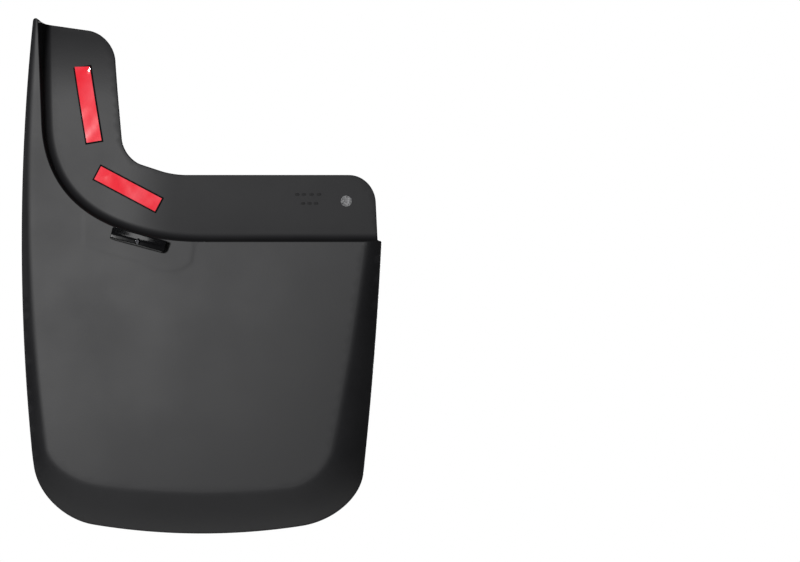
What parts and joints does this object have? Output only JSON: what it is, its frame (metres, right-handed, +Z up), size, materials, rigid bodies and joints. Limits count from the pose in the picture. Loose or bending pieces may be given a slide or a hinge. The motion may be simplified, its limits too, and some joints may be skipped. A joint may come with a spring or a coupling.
{
  "type": "truck mud flap",
  "caption": "Moulded mud flap with a stepped mounting flange, foam tape strips under release liners, and a steel lip clip with a set screw.",
  "frame": {"origin": "on the flat face of the mounting flange that meets the truck's body, 28 mm above the ledge and 110 mm from the panel's inboard edge", "axes": "+Z up as fitted, +X inboard on a left-hand flap, -Y to the rear of the truck, out of the flange face"},
  "size_m": [0.303, 0.0485, 0.4359],
  "materials": {
    "flap_plastic": "fine grained black thermoplastic",
    "tape_foam": "closed-cell acrylic foam",
    "liner_film": "smooth red release film",
    "clip_coating": "glossy black coated steel",
    "rivet_aluminium": "satin",
    "zinc_steel": "bright zinc plate",
    "oxide_steel": "black oxide"
  },
  "bodies": {
    "flap": {"flap_shell": "flap_plastic", "upper_tape_foam": "tape_foam", "upper_tape_liner": "liner_film", "lower_tape_foam": "tape_foam", "lower_tape_liner": "liner_film", "lip_clip": "clip_coating", "clip_rivet_left": "rivet_aluminium", "clip_rivet_right": "rivet_aluminium", "clip_washer_left": "zinc_steel", "clip_washer_right": "zinc_steel"},
    "pad": {"pressure_pad": "zinc_steel"},
    "screw": {"set_screw": "oxide_steel"}
  },
  "joints": [
    {"name": "pad_slide", "type": "slide", "parent": "flap", "child": "pad", "axis": [0, 1, 0], "range_m": [0, 0.0033]},
    {"name": "screw_turn", "type": "hinge", "parent": "pad", "child": "screw", "pos_m": [-0.09339, 0, -0.02845], "axis": [0, 1, 0], "range_deg": [0, 2376]}
  ],
  "couplings": [
    {"joint": "screw_turn", "follows": "pad_slide", "rad_per_m": 12566}
  ]
}
